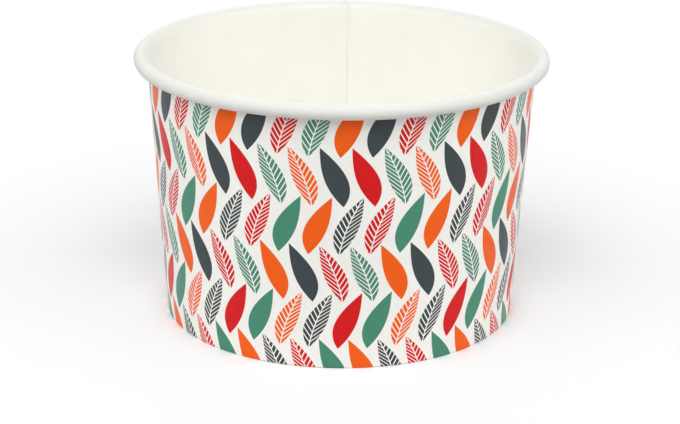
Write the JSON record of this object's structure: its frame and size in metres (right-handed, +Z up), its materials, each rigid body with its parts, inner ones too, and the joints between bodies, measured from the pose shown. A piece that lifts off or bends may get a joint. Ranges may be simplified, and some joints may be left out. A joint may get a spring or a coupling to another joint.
{
  "type": "paper ice cream cup",
  "caption": "Round paper ice cream cup with a rolled rim, a slightly tapered wall with a lapped side seam, and a recessed base.",
  "frame": {"origin": "centre of the circle that the cup stands on, in the rest plane", "axes": "+Z up along the cup's axis; the side seam is at the back, towards +Y"},
  "size_m": [0.115, 0.115, 0.075],
  "materials": {
    "wall_board": "white coated board, printed outside with a satin finish",
    "base_board": "white coated board, satin"
  },
  "bodies": {
    "root": {"side_wall": "wall_board", "base": "base_board"}
  },
  "joints": []
}
